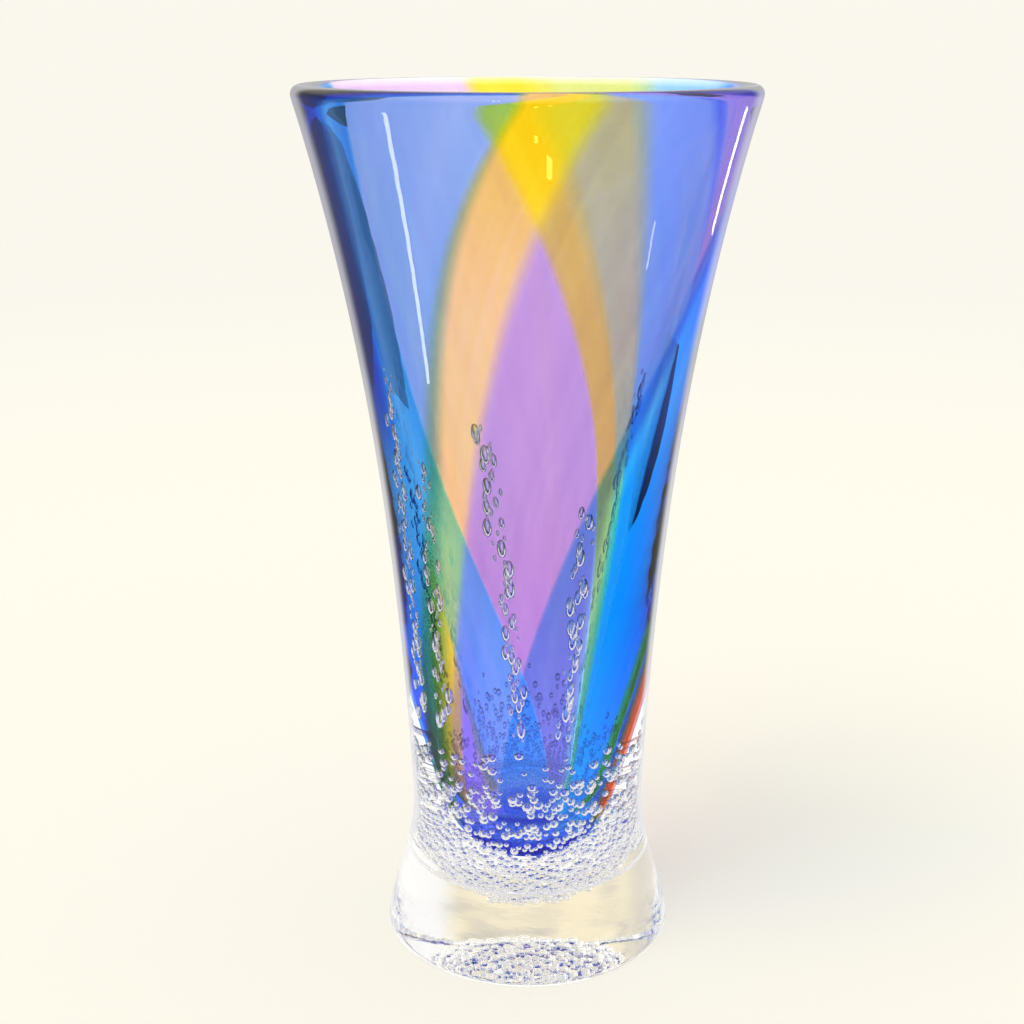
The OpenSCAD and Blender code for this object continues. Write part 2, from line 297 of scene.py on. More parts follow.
def surfaceRippleGroup():
    # the soft waves and tool marks of hot-worked glass, as a height
    tree, start, end = makeGroup(
        "surfaceRipple",
        [("Wave Size", "NodeSocketFloat", 30.0), ("Grain", "NodeSocketFloat", 220.0),
         ("Grain Share", "NodeSocketFloat", 0.1)],
        [("Height", "NodeSocketFloat"), ("Cast", "NodeSocketColor")])
    link = tree.links.new
    place = addNode(tree, "ShaderNodeTexCoord")
    squash = addNode(tree, "ShaderNodeMapping")
    squash.inputs["Scale"].default_value = clearSkin["squash"]
    wave = setInputs(addNode(tree, "ShaderNodeTexNoise"), Detail=1.0, Roughness=0.4)
    grain = setInputs(addNode(tree, "ShaderNodeTexNoise"), Detail=2.0)
    link(place.outputs["Object"], squash.inputs["Vector"])
    for noise, size in ((wave, "Wave Size"), (grain, "Grain")):
        link(squash.outputs["Vector"], noise.inputs["Vector"])
        link(start.outputs[size], noise.inputs["Scale"])
    share = start.outputs["Grain Share"]
    height = mathNode(tree, "MULTIPLY_ADD", grain.outputs["Fac"], share, wave.outputs["Fac"])
    link(height, end.inputs["Height"])
    link(mixColour(tree, wave.outputs["Fac"], clearSkin["cast"], plainWhite), end.inputs["Cast"])
    return tree


surfaceRipple = surfaceRippleGroup()


def softShadow(tree, path, glass, tint):
    # for shadows and for the light on the table, glass is a thin veil
    veil = setInputs(addNode(tree, "ShaderNodeBsdfTransparent"), Color=tint)
    soft = mathNode(tree, "MAXIMUM", path.outputs["Is Shadow Ray"], path.outputs["Is Diffuse Ray"])
    return mixShader(tree, soft, glass, veil.outputs[0])


def clearGlass(name, waveSize, waveHeight, paintedPaleEdge):
    material = bpy.data.materials.new(name)
    tree = newTree(material)
    link = tree.links.new
    path = addNode(tree, "ShaderNodeLightPath")
    ripple = useGroup(tree, surfaceRipple, Wave_Size=waveSize)
    bump = setInputs(addNode(tree, "ShaderNodeBump"), Strength=1.0, Distance=waveHeight)
    glass = addNode(tree, "ShaderNodeBsdfPrincipled")
    setInputs(glass, Roughness=0.0, IOR=1.5, Transmission_Weight=1.0)
    link(ripple.outputs["Height"], bump.inputs["Height"])
    link(bump.outputs["Normal"], glass.inputs["Normal"])
    link(ripple.outputs["Cast"], glass.inputs["Base Color"])
    clear = softShadow(tree, path, glass.outputs[0], clearSkin["veil"])
    # painted glow: light that has turned round inside many times, as in the lip, is painted as a soft glow
    paintedGlowDeep = mathNode(tree, "GREATER_THAN", path.outputs["Ray Depth"], clearSkin["paintedGlowAfter"])
    # and a painted pale glow lies on the outermost edge of the clear skin where it is first seen, less of it
    # on the flare
    lean = setInputs(addNode(tree, "ShaderNodeLayerWeight"), Blend=0.5)
    spot = axesOf(tree, addNode(tree, "ShaderNodeTexCoord").outputs["Object"])
    highUp = clearSkin["paintedPaleFlareShare"] * paintedPaleEdge
    flare = mapRange(tree, spot["Z"], *clearSkin["paintedPaleHeights"], paintedPaleEdge, highUp)
    pale = mapRange(tree, lean.outputs["Facing"], *clearSkin["paintedPaleFacing"])
    pale = mathNode(tree, "MULTIPLY", pale, flare)
    pale = mathNode(tree, "MULTIPLY", pale, path.outputs["Is Camera Ray"])
    glow = glowing(tree, clearSkin["paintedGlowColour"], clearSkin["glow"])
    surfaceOut(tree, mixShader(tree, mathNode(tree, "MAXIMUM", paintedGlowDeep, pale), clear, glow))
    return material


def fusedGlass():
    # where two gathers have melted together nothing bends the light, only faint cords show
    material = bpy.data.materials.new("fusedGlass")
    tree = newTree(material)
    ripple = useGroup(tree, surfaceRipple, Wave_Size=45.0)
    veil = addNode(tree, "ShaderNodeBsdfTransparent")
    faint = mixColour(tree, 0.7, ripple.outputs["Cast"], plainWhite)
    tree.links.new(faint, veil.inputs["Color"])
    surfaceOut(tree, veil.outputs[0])
    return material


# the last number is the strength of the painted pale glow on the outer edge
outerGlass = clearGlass("outerGlass", waveSize=26.0, waveHeight=0.012 * mm, paintedPaleEdge=0.75)
hollowGlass = clearGlass("hollowGlass", waveSize=34.0, waveHeight=0.01 * mm, paintedPaleEdge=0.0)
footGlass = clearGlass("footGlass", waveSize=30.0, waveHeight=0.1 * mm, paintedPaleEdge=0.3)
fused = fusedGlass()
print("glass finishes ready")


# profiles taken from the frame, and bodies turned from them

turned = {
    "leastLean": 0.02,
    "fullWobble": 30 * mm,           # radius from which the wobble is whole
    "crease": 32,                    # degrees between faces that stay a sharp edge
}


def profileOf(nodeName, side):
    # radius and height of the faces that look away from the axis (1) or towards it (-1)
    mesh = cadNodes[nodeName].data
    spots = np.empty(len(mesh.vertices) * 3)
    mesh.vertices.foreach_get("co", spots)
    spots = spots.reshape(-1, 3)
    mesh.calc_loop_triangles()
    corners = np.empty(len(mesh.loop_triangles) * 3, int)
    mesh.loop_triangles.foreach_get("vertices", corners)
    corners = corners.reshape(-1, 3)
    a, b, c = (spots[corners[:, k]] for k in range(3))
    normal = np.cross(b - a, c - a)
    middle = (a + b + c) / 3
    lean = side * (normal[:, :2] * middle[:, :2]).sum(1)
    span = np.linalg.norm(normal, axis=1) * np.linalg.norm(middle[:, :2], axis=1)
    chosen = corners[lean > turned["leastLean"] * span].ravel()
    radius = np.hypot(spots[chosen, 0], spots[chosen, 1])
    height = np.round(spots[chosen, 2], 5)
    return np.array([[np.median(radius[height == z]), z] for z in np.unique(height)])


def smoothLine(points, step):
    # an even curve through the points, cut into short steps
    points = np.asarray(points, float)
    gaps = np.linalg.norm(np.diff(points, axis=0), axis=1)
    keep = np.concatenate([[True], gaps > tiny])
    points = points[keep]
    gaps = np.linalg.norm(np.diff(points, axis=0), axis=1)
    along = np.concatenate([[0], np.cumsum(gaps)])
    slope = np.diff(points, axis=0) / gaps[:, None]
    tangent = np.vstack([slope[:1], slope[-1:]])
    if len(points) > 2:
        before, after = gaps[:-1, None], gaps[1:, None]
        inner = (slope[:-1] * after + slope[1:] * before) / (before + after)
        tangent = np.vstack([slope[:1], inner, slope[-1:]])
    line = [points[0]]
    for k, gap in enumerate(gaps):
        count = max(1, math.ceil(gap / step))
        for t in (np.arange(count) + 1) / count:
            line.append(
                (2 * t**3 - 3 * t**2 + 1) * points[k] + (t**3 - 2 * t**2 + t) * gap * tangent[k]
                + (3 * t**2 - 2 * t**3) * points[k + 1] + (t**3 - t**2) * gap * tangent[k + 1])
    return np.array(line)


def outward(line):
    # unit normals of a profile, away from the axis
    gap = np.gradient(line, axis=0)
    away = np.stack([gap[:, 1], -gap[:, 0]], 1)
    return away / np.linalg.norm(away, axis=1)[:, None]


def toAxis(line):
    # a profile that starts on the axis
    return line if line[0][0] < onAxis else np.vstack([[[0, line[0][1]]], line])


def handWobble(turn, height, amount):
    # a blown wall is never quite round
    rise = height / (100 * mm)
    return amount * (
        np.sin(2 * turn + 0.7 + 0.4 * rise) + 0.6 * np.sin(3 * turn + 2.1 - 0.9 * rise)
        + 0.35 * np.sin(5 * turn + 0.3 + 1.7 * rise))


def turnedPiece(name, bands, materials, sides, wobble=0.0):
    # bands: (line of radius and height, material number); each starts where the last one ends
    points = [bands[0][0][0]]
    kinds = []
    for line, kind in bands:
        for spot in line:
            if np.linalg.norm(spot - points[-1]) > tiny:
                points.append(spot)
                kinds.append(kind)
    closed = np.linalg.norm(points[0] - points[-1]) < tiny
    if closed:
        points.pop()
    turn = np.arange(sides) / sides * 2 * math.pi
    spots, rings = [], []
    for radius, height in points:
        if radius < onAxis:
            rings.append([len(spots)])
            spots.append((0, 0, height))
            continue
        rings.append(range(len(spots), len(spots) + sides))
        round_ = radius + handWobble(turn, height, wobble) * min(1, radius / turned["fullWobble"])
        spots += list(zip(round_ * np.sin(turn), -round_ * np.cos(turn), np.full(sides, height)))
    faces, slots = [], []
    for k, kind in enumerate(kinds):
        low, high = rings[k], rings[(k + 1) % len(rings)]
        for j in range(sides):
            nextJ = (j + 1) % sides
            if len(low) == 1:
                faces.append((low[0], high[nextJ], high[j]))
            elif len(high) == 1:
                faces.append((low[j], low[nextJ], high[0]))
            else:
                faces.append((low[j], low[nextJ], high[nextJ], high[j]))
            slots.append(kind)
    mesh = bpy.data.meshes.new(name)
    mesh.from_pydata(spots, [], faces)
    for material in materials:
        mesh.materials.append(material)
    mesh.polygons.foreach_set("material_index", slots)
    shell = bmesh.new()
    shell.from_mesh(mesh)
    bmesh.ops.recalc_face_normals(shell, faces=shell.faces)
    shell.to_mesh(mesh)
    shell.free()
    mesh.shade_smooth()
    mesh.set_sharp_from_angle(angle=math.radians(turned["crease"]))
    piece = bpy.data.objects.new(name, mesh)
    scene.collection.objects.link(piece)
    return piece


def standFor(piece, slot, *nodeNames):
    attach(piece, "root")
    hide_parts(*nodeNames)


# clear outer gather with the rounded lip

casing = {"sides": 256, "ringStep": 2.5 * mm, "wobble": 0.09 * mm, "slack": 0.01 * mm}

casingOut = profileOf("clear_casing", 1)
casingIn = profileOf("clear_casing", -1)
coreIn = profileOf("inner_gather", -1)
coreOut = profileOf("inner_gather", 1)
layerTop = coreIn[-1][1]
lipIn = casingIn[casingIn[:, 1] > layerTop + casing["slack"]][::-1]
casedIn = casingIn[casingIn[:, 1] < layerTop - casing["slack"]][::-1]
lipEnd = coreIn[-1:]


def makeCasing():
    skin = smoothLine(casingOut, casing["ringStep"])
    lip = smoothLine(np.vstack([lipIn, lipEnd]), casing["ringStep"])
    inside = np.vstack([coreOut[-1:], casedIn, skin[:1]])
    return turnedPiece(
        "vaseCasing", [(skin, 0), (lip, 0), (inside, 1)], [outerGlass, fused],
        casing["sides"], casing["wobble"])


standFor(makeCasing(), "clear_glass", "clear_casing")
print("casing turned")


# applied foot

foot = {"sides": 192, "ringStep": 2 * mm, "floorRings": 8, "wobble": 0.12 * mm}


def makeFoot():
    side = smoothLine(profileOf("foot", 1), foot["ringStep"])
    socket = toAxis(profileOf("foot", -1))[::-1]
    low = np.linspace((0, side[0][1]), side[0], foot["floorRings"])
    top = np.array([side[-1], (casingOut[0][0], side[-1][1])])
    cup = np.vstack([top[-1:], socket])
    return turnedPiece(
        "vaseFoot", [(low, 0), (side, 0), (top, 0), (cup, 1)], [footGlass, fused],
        foot["sides"], foot["wobble"])


standFor(makeFoot(), "clear_glass", "foot")
print("foot turned")


# blown core, whose inside is the hollow

core = {"sides": 320, "ringStep": 2.5 * mm, "wobble": 0.06 * mm}


def makeCore():
    hollow = smoothLine(toAxis(coreIn), core["ringStep"])
    outside = toAxis(coreOut)[::-1]
    return turnedPiece(
        "vaseCore", [(hollow, 0), (outside, 1)], [hollowGlass, fused], core["sides"], core["wobble"])


standFor(makeCore(), "clear_core_glass", "inner_gather")
print("core turned")

# second gather: all of it is fused in, so the solid itself is kept
gather = cadNodes["second_gather"]
gather.data.materials.clear()
gather.data.materials.append(fused)
gather.data.polygons.foreach_set("material_index", [0] * len(gather.data.polygons))


# colour laid on the core

veilLook = {
    "streakScale": (9, 0.8, 1), "streakShare": (0.25, 0.75),
    "grainShare": (0.5, 0.75), "grainDepth": (-0.3, 1.6), "grainFrom": 0.05,
}


def colourVeilGroup():
    # glass of a tint as deep as the veil says, streaked along its length and grained near the cup's end
    tree, start, end = makeGroup(
        "colourVeil",
        [("Top Tint", "NodeSocketColor", plainWhite), ("Mid Tint", "NodeSocketColor", plainWhite),
         ("Low Tint", "NodeSocketColor", plainWhite),
         ("Low Height", "NodeSocketFloat", 0.08), ("Mid Height", "NodeSocketFloat", 0.17),
         ("High Height", "NodeSocketFloat", 0.23), ("Top Height", "NodeSocketFloat", 0.3),
         ("Slant", "NodeSocketFloat", 1.0), ("Streaks", "NodeSocketFloat", 0.25),
         ("Grain", "NodeSocketFloat", 0.5), ("Grain Height", "NodeSocketFloat", 0.1)],
        [("Color", "NodeSocketColor")])
    link = tree.links.new
    given = start.outputs
    place = addNode(tree, "ShaderNodeTexCoord").outputs["Object"]
    height = axesOf(tree, place)["Z"]
    colour = given["Low Tint"]
    for fromHeight, toHeight, nextTint in (
            ("Low Height", "Mid Height", "Mid Tint"), ("High Height", "Top Height", "Top Tint")):
        rise = mapRange(tree, height, given[fromHeight], given[toHeight])
        colour = mixColour(tree, rise, colour, given[nextTint])
    # long streaks follow the twist, in the piece's own UV
    along = addNode(tree, "ShaderNodeUVMap", uv_map="twist")
    stretch = addNode(tree, "ShaderNodeMapping")
    stretch.inputs["Scale"].default_value = veilLook["streakScale"]
    streak = setInputs(addNode(tree, "ShaderNodeTexNoise"), Scale=1.0, Detail=3.0, Roughness=0.55)
    link(along.outputs[0], stretch.inputs["Vector"])
    link(stretch.outputs[0], streak.inputs["Vector"])
    streaks = mapRange(tree, streak.outputs["Fac"], *veilLook["streakShare"], -1.0, kind="LINEAR")
    streaks = mathNode(tree, "MULTIPLY_ADD", streaks, given["Streaks"], 1.0)
    # coloured grains that did not melt quite away, near the end of the cup
    grain = setInputs(addNode(tree, "ShaderNodeTexNoise"), Scale=1300.0, Detail=1.0)
    link(place, grain.inputs["Vector"])
    deep = veilLook["grainDepth"]
    grains = mapRange(tree, grain.outputs["Fac"], *veilLook["grainShare"], *deep, kind="LINEAR")
    fade = mapRange(tree, height, veilLook["grainFrom"], given["Grain Height"], 1.0, 0.0)
    grains = mathNode(tree, "MULTIPLY", grains, fade)
    grains = mathNode(tree, "MULTIPLY", grains, given["Grain"])
    depth = mathNode(tree, "ADD", streaks, grains)
    # each wall of colour is crossed at its inner and its outer face, so a face has half the depth
    veil = addNode(tree, "ShaderNodeAttribute", attribute_name="veil")
    half = mathNode(tree, "MULTIPLY", veil.outputs["Fac"], 0.5)
    whole = mathNode(tree, "MULTIPLY", half, depth)
    film = addNode(tree, "ShaderNodeGamma")
    link(colour, film.inputs["Color"])
    link(mathNode(tree, "MULTIPLY", whole, given["Slant"]), film.inputs["Gamma"])
    link(film.outputs[0], end.inputs["Color"])
    return tree


colourVeil = colourVeilGroup()
crossing = {"least": 0.35, "wide": (0.725, 0.79)}      # cosines of the slant


def stripeGlass(name, values):
    material = bpy.data.materials.new(name)
    tree = newTree(material)
    link = tree.links.new
    veil = useGroup(
        tree, colourVeil, Top_Tint=(*values["top"], 1), Mid_Tint=(*values["mid"], 1),
        Low_Tint=(*values["low"], 1), Streaks=values["streaks"], Grain=values["grain"])
    if "lowTo" in values:
        setInputs(veil, Low_Height=values["lowTo"][0], Mid_Height=values["lowTo"][1])
    # light that crosses the colour at a slant goes through more of it
    lean = setInputs(addNode(tree, "ShaderNodeLayerWeight"), Blend=0.5)
    straight = mathNode(tree, "SUBTRACT", 1.0, lean.outputs["Facing"])
    slant = mathNode(tree, "DIVIDE", 1.0, mathNode(tree, "MAXIMUM", straight, crossing["least"]))
    # and where the attribute says so, a wide slant darkens it further: painted shade
    edge = addNode(tree, "ShaderNodeAttribute", attribute_name="edge")
    wide = mapRange(tree, straight, *crossing["wide"], 1.0, 0.0)
    extra = mathNode(tree, "MULTIPLY_ADD", edge.outputs["Fac"], wide, 1.0)
    film = addNode(tree, "ShaderNodeBsdfTransparent")
    link(mathNode(tree, "MULTIPLY", slant, extra), veil.inputs["Slant"])
    link(veil.outputs["Color"], film.inputs["Color"])
    surfaceOut(tree, film.outputs[0])
    return material


# tints of a whole wall at three heights; lowTo: metres of height where the low tint turns into the middle one
# soft: degrees over which the first and last edge blend, at the lip, halfway and at the heel
# reach: how far past the edge the blend's middle lies; terrace: depth at which the blend rests for a stretch
# rich: how much deeper the colour is along the first and last edge; painted edge shade: how much a wide slant
# darkens it
# late: the colour has only this depth for so many degrees after its first edge
noReach = (0, 0, 0)
stripes = {
    "skyStripe1": {
        "node": "sky_blue_stripe_1", "slot": "sky_blue_glass", "soft": ((4, 3, 1.5), (4, 8, 40)),
        "reach": (noReach, (0, 0, -14)), "rich": ((1.8, 0.6, 0), noReach), "edge": 2.5,
        "top": (0.34, 0.64, 0.90), "mid": (0.31, 0.64, 0.90), "low": (0.26, 0.62, 1.0),
        "streaks": 0.12, "grain": 0.5},
    "yellowStripe1": {
        "node": "yellow_stripe_1", "slot": "yellow_glass", "soft": ((4, 8, 10), (7, 6, 4)),
        "reach": ((0, 6, 32), noReach),
        "top": (0.92, 0.76, 0.14), "mid": (0.98, 0.88, 0.38), "low": (0.92, 0.74, 0.32),
        "streaks": 0.15, "grain": 0.2},
    "lilacStripe1": {
        "node": "lilac_stripe_1", "slot": "lilac_glass", "soft": ((7, 6, 4), (4, 8, 10)),
        "reach": (noReach, (0, 9, 56)),
        "top": (0.62, 0.54, 0.88), "mid": (0.60, 0.49, 0.78), "low": (0.58, 0.50, 0.96),
        "streaks": 0.12, "grain": 0.3},
    "skyStripe2": {
        "node": "sky_blue_stripe_2", "slot": "sky_blue_glass", "soft": ((4, 2.5, 1.2), (50, 16, 6)),
        "terrace": (0, 0.3), "lowTo": (0.165, 0.215), "rich": ((2.5, 0.5, 0), noReach),
        "late": (0.38, (0, 12, 56)),
        "top": (0.34, 0.62, 1.0), "mid": (0.28, 0.64, 1.0), "low": (0.10, 0.60, 1.0),
        "streaks": 0.12, "grain": 0.5},
    "yellowStripe2": {
        "node": "yellow_stripe_2", "slot": "yellow_glass", "soft": ((50, 16, 6), (8, 4, 3)),
        "terrace": (0.45, 0), "reach": (noReach, (0, 0, 14)),
        "top": (0.90, 0.72, 0.04), "mid": (1.0, 0.76, 0.14), "low": (0.90, 0.66, 0.20),
        "streaks": 0.15, "grain": 0.2},
    "lilacStripe2": {
        "node": "lilac_stripe_2", "slot": "lilac_glass", "soft": ((8, 4, 3), (4, 3, 1.5)),
        "reach": ((0, 0, -17), noReach),
        "top": (0.78, 0.57, 0.86), "mid": (0.82, 0.57, 0.84), "low": (0.84, 0.48, 0.76),
        "streaks": 0.12, "grain": 0.3},
}
stripeShape = {
    "rows": 97, "columns": 49, "lowFade": 6 * mm, "topFade": 0.4 * mm, "stagger": 0.03 * mm,
    "intoLip": 2.5 * mm, "lipLean": 0.6 * mm, "richSpan": 22, "lipDepth": 2.0, "lipSpan": 1.5 * mm,
    "edgeFrom": 170 * mm, "edgeTo": 230 * mm, "lateSpan": 8, "crease": 40}


def stripeRows(nodeName):
    # height, first angle, last angle, inner and outer radius of each row of the stripe's solid
    spots = np.array([v.co for v in cadNodes[nodeName].data.vertices])
    height = np.round(spots[:, 2], 5)
    rows = []
    middle = None
    for z in np.unique(height):
        x, y = spots[height == z, 0], -spots[height == z, 1]
        turn = math.atan2(x.sum(), y.sum())
        middle = turn if middle is None else middle + (turn - middle + math.pi) % (2 * math.pi) - math.pi
        away = (np.arctan2(x, y) - middle + math.pi) % (2 * math.pi) - math.pi
        radius = np.hypot(x, y)
        rows.append((z, middle + away.min(), middle + away.max(), radius.min(), radius.max()))
    return np.array(rows)


def smoothStep(x):
    x = np.clip(x, 0, 1)
    return x * x * (3 - 2 * x)


def softEdge(x, terrace):
    if terrace:
        return terrace * smoothStep(x / 0.3) + (1 - terrace) * smoothStep((x - 0.7) / 0.3)
    return smoothStep(x)


def alongEdge(rise, degrees):
    return np.radians(np.interp(rise, (0, 0.5, 1), degrees[::-1]))


def gridFaces(rows, columns, start, flip):
    faces = []
    for i in range(rows - 1):
        for j in range(columns - 1):
            a = start + i * columns + j
            quad = (a, a + 1, a + columns + 1, a + columns)
            faces.append(quad[::-1] if flip else quad)
    return faces


def edgeFaces(ring, count):
    return [(ring[k], ring[(k + 1) % len(ring)], ring[(k + 1) % len(ring)] + count, ring[k] + count)
            for k in range(len(ring))]


def makeStripe(name, values, order):
    rows = stripeRows(values["node"])
    onward = (rows[-1] - rows[-2]) * stripeShape["intoLip"] / (rows[-1][0] - rows[-2][0])
    onward[3:] += stripeShape["lipLean"]
    rows = np.vstack([rows, rows[-1] + onward])
    tall, wide = stripeShape["rows"], stripeShape["columns"]
    z = np.linspace(rows[0][0], rows[-1][0], tall)
    first, last, inner, outer = (np.interp(z, rows[:, 0], rows[:, k]) for k in range(1, 5))
    rise = (z - z[0]) / (z[-1] - z[0])
    lowSoft, highSoft = (alongEdge(rise, soft) for soft in values["soft"])
    lowReach, highReach = (alongEdge(rise, reach) for reach in values.get("reach", (noReach, noReach)))
    lowTerrace, highTerrace = values.get("terrace", (0, 0))
    lowRich, highRich = (
        np.interp(rise, (0, 0.5, 1), rich[::-1])[:, None] for rich in values.get("rich", (noReach, noReach)))
    first = first - lowReach - lowSoft / 2
    last = last + highReach + highSoft / 2
    share = np.linspace(0, 1, wide)
    share = 0.5 * share + 0.5 * smoothStep(share)      # more columns near the soft edges
    turn = first[:, None] + (last - first)[:, None] * share[None, :]
    fade = softEdge((turn - first[:, None]) / lowSoft[:, None], lowTerrace)
    fade = fade * softEdge((last[:, None] - turn) / highSoft[:, None], highTerrace)
    fade = fade * smoothStep((z - z[0]) / stripeShape["lowFade"])[:, None]
    fade = fade * smoothStep((z[-1] - z) / stripeShape["topFade"])[:, None]
    span = math.radians(stripeShape["richSpan"])
    rich = lowRich * smoothStep(1 - (turn - first[:, None]) / span)
    rich = rich + highRich * smoothStep(1 - (last[:, None] - turn) / span)
    lateDepth, lateUntil = values.get("late", (1, noReach))
    late = turn - first[:, None] - alongEdge(rise, lateUntil)[:, None]
    late = smoothStep(late / math.radians(stripeShape["lateSpan"]))
    fade = fade * (lateDepth + (1 - lateDepth) * late)
    pool = stripeShape["lipDepth"] * smoothStep(1 - (z[-1] - z) / stripeShape["lipSpan"])
    fade = fade * (1 + rich) * (1 + pool)[:, None]
    step = order * stripeShape["stagger"]
    spots = []
    for radius in (inner + step, outer + step):
        r = np.broadcast_to(radius[:, None], turn.shape)
        height = np.broadcast_to(z[:, None], turn.shape)
        spots.append(np.stack([r * np.sin(turn), -r * np.cos(turn), height], 2).reshape(-1, 3))
    count = tall * wide
    ring = list(range(wide)) + [i * wide + wide - 1 for i in range(1, tall)]
    ring += [(tall - 1) * wide + j for j in range(wide - 2, -1, -1)]
    ring += [i * wide for i in range(tall - 2, 0, -1)]
    faces = gridFaces(tall, wide, 0, True) + gridFaces(tall, wide, count, False) + edgeFaces(ring, count)
    mesh = bpy.data.meshes.new(name)
    mesh.from_pydata(np.vstack(spots).tolist(), [], faces)
    veil = mesh.attributes.new("veil", "FLOAT", "POINT")
    veil.data.foreach_set("value", np.tile(fade.ravel(), 2).astype(np.float32))
    # painted shade at wide slants, rising between the two heights
    dark = smoothStep((z - stripeShape["edgeFrom"]) / (stripeShape["edgeTo"] - stripeShape["edgeFrom"]))
    dark = np.tile(np.repeat(dark * values.get("edge", 0), wide), 2)
    edge = mesh.attributes.new("edge", "FLOAT", "POINT")
    edge.data.foreach_set("value", dark.astype(np.float32))
    uv = mesh.uv_layers.new(name="twist")
    corner = np.empty(len(mesh.loops), int)
    mesh.loops.foreach_get("vertex_index", corner)
    across = np.tile(np.broadcast_to(share[None, :], turn.shape).ravel(), 2)
    upward = np.tile(np.broadcast_to(np.linspace(0, 1, tall)[:, None], turn.shape).ravel(), 2)
    uv.data.foreach_set("uv", np.stack([across[corner], upward[corner]], 1).astype(np.float32).ravel())
    mesh.materials.append(stripeGlass(name + "Glass", values))
    mesh.shade_smooth()
    mesh.set_sharp_from_angle(angle=math.radians(stripeShape["crease"]))
    piece = bpy.data.objects.new(name, mesh)
    scene.collection.objects.link(piece)
    standFor(piece, values["slot"], values["node"])


for order, (stripeName, stripeValues) in enumerate(stripes.items()):
    makeStripe(stripeName, stripeValues, order)
print("stripes twisted:", len(stripes))


# cobalt cap over the round end of the core

cap = {
    "sides": 128, "ringStep": 1 * mm, "gap": 0.05 * mm, "rise": 6 * mm, "fade": 14 * mm,
    "stagger": -0.03 * mm,
    "tint": {
        "top": (0.25, 0.45, 0.95), "mid": (0.25, 0.45, 0.95), "low": (0.10, 0.24, 0.82),
        "streaks": 0.2, "grain": 0.8},
}


def makeCap():
    capNode = profileOf("cobalt_cap", 1)
    thick = capNode[-1][0] - profileOf("cobalt_cap", -1)[-1][0]
    top = capNode[-1][1] + cap["rise"]
    curve = smoothLine(coreOut, cap["ringStep"])
    line = toAxis(curve[curve[:, 1] <= top])
    away = outward(line)
    away[0] = (0, -1)
    inner = line + away * (cap["gap"] + cap["stagger"])
    outer = line + away * (thick + cap["stagger"])
    inner[0][0] = outer[0][0] = 0
    piece = turnedPiece(
        "cobaltCap", [(outer, 0), (inner[::-1], 0)], [stripeGlass("cobaltGlass", cap["tint"])], cap["sides"])
    heights = np.array([v.co.z for v in piece.data.vertices])
    fade = smoothStep((top - heights) / cap["fade"])
    veil = piece.data.attributes.new("veil", "FLOAT", "POINT")
    veil.data.foreach_set("value", fade.astype(np.float32))
    uv = piece.data.uv_layers.new(name="twist")
    for loop in piece.data.loops:
        spot = piece.data.vertices[loop.vertex_index].co
        uv.data[loop.index].uv = (math.atan2(spot.x, -spot.y), spot.z * 10)
    return piece


standFor(makeCap(), "cobalt_glass", "cobalt_cap")
print("cap ready")


# trapped air

def airBubble():
    # a bubble is air inside glass, so light bends the other way at its skin
    material = bpy.data.materials.new("trappedAir")
    tree = newTree(material)
    path = addNode(tree, "ShaderNodeLightPath")
    ripple = useGroup(tree, surfaceRipple, Wave_Size=400.0)
    glass = setInputs(addNode(tree, "ShaderNodeBsdfGlass"), Roughness=0.0, IOR=1 / 1.5)
    tree.links.new(ripple.outputs["Cast"], glass.inputs["Color"])
    surfaceOut(tree, softShadow(tree, path, glass.outputs[0], (0.93, 0.93, 0.94, 1)))
    return material


trappedAir = airBubble()


def geometryTree(name, inputs):
    tree = bpy.data.node_groups.new(name, "GeometryNodeTree")
    tree.interface.new_socket("Geometry", in_out="INPUT", socket_type="NodeSocketGeometry")
    for label, kind in inputs:
        tree.interface.new_socket(label, in_out="INPUT", socket_type=kind)
    tree.interface.new_socket("Geometry", in_out="OUTPUT", socket_type="NodeSocketGeometry")
    return tree, tree.nodes.new("NodeGroupInput"), tree.nodes.new("NodeGroupOutput")


def finishBubbles(tree, start, end, points, rotation, scale):
    # one small sphere on each point, made real and given its material
    link = tree.links.new
    ball = setInputs(addNode(tree, "GeometryNodeMeshUVSphere"), Segments=8, Rings=6, Radius=1.0)
    place = addNode(tree, "GeometryNodeInstanceOnPoints")
    real = addNode(tree, "GeometryNodeRealizeInstances")
    smooth = addNode(tree, "GeometryNodeSetShadeSmooth")
    paint = addNode(tree, "GeometryNodeSetMaterial")
    link(points, place.inputs["Points"])
    link(ball.outputs["Mesh"], place.inputs["Instance"])
    link(rotation, place.inputs["Rotation"])
    link(scale, place.inputs["Scale"])
    link(place.outputs[0], real.inputs[0])
    link(real.outputs[0], smooth.inputs[0])
    link(smooth.outputs[0], paint.inputs["Geometry"])
    link(start.outputs["Material"], paint.inputs["Material"])
    link(paint.outputs[0], end.inputs["Geometry"])


def skewedSize(tree, start, seedShift):
    # mostly small bubbles, a few large ones
    chance = addNode(tree, "FunctionNodeRandomValue", data_type="FLOAT")
    tree.links.new(mathNode(tree, "ADD", start.outputs["Seed"], seedShift), chance.inputs["Seed"])
    skew = mathNode(tree, "POWER", chance.outputs[1], start.outputs["Skew"])
    given = start.outputs
    return mapRange(tree, skew, 0.0, 1.0, given["Smallest"], given["Largest"], kind="LINEAR")


def strayed(tree, start, points, way, spread):
    # moves each point along its way by a random share of the spread
    link = tree.links.new
    chance = addNode(tree, "FunctionNodeRandomValue", data_type="FLOAT")
    chance.inputs[2].default_value = -1.0
    chance.inputs[3].default_value = 1.0
    offset = addNode(tree, "ShaderNodeVectorMath", operation="SCALE")
    move = addNode(tree, "GeometryNodeSetPosition")
    link(start.outputs["Seed"], chance.inputs["Seed"])
    link(way, offset.inputs[0])
    link(mathNode(tree, "MULTIPLY", chance.outputs[1], start.outputs[spread]), offset.inputs["Scale"])
    link(points, move.inputs["Geometry"])
    link(offset.outputs[0], move.inputs["Offset"])
    return move.outputs[0]


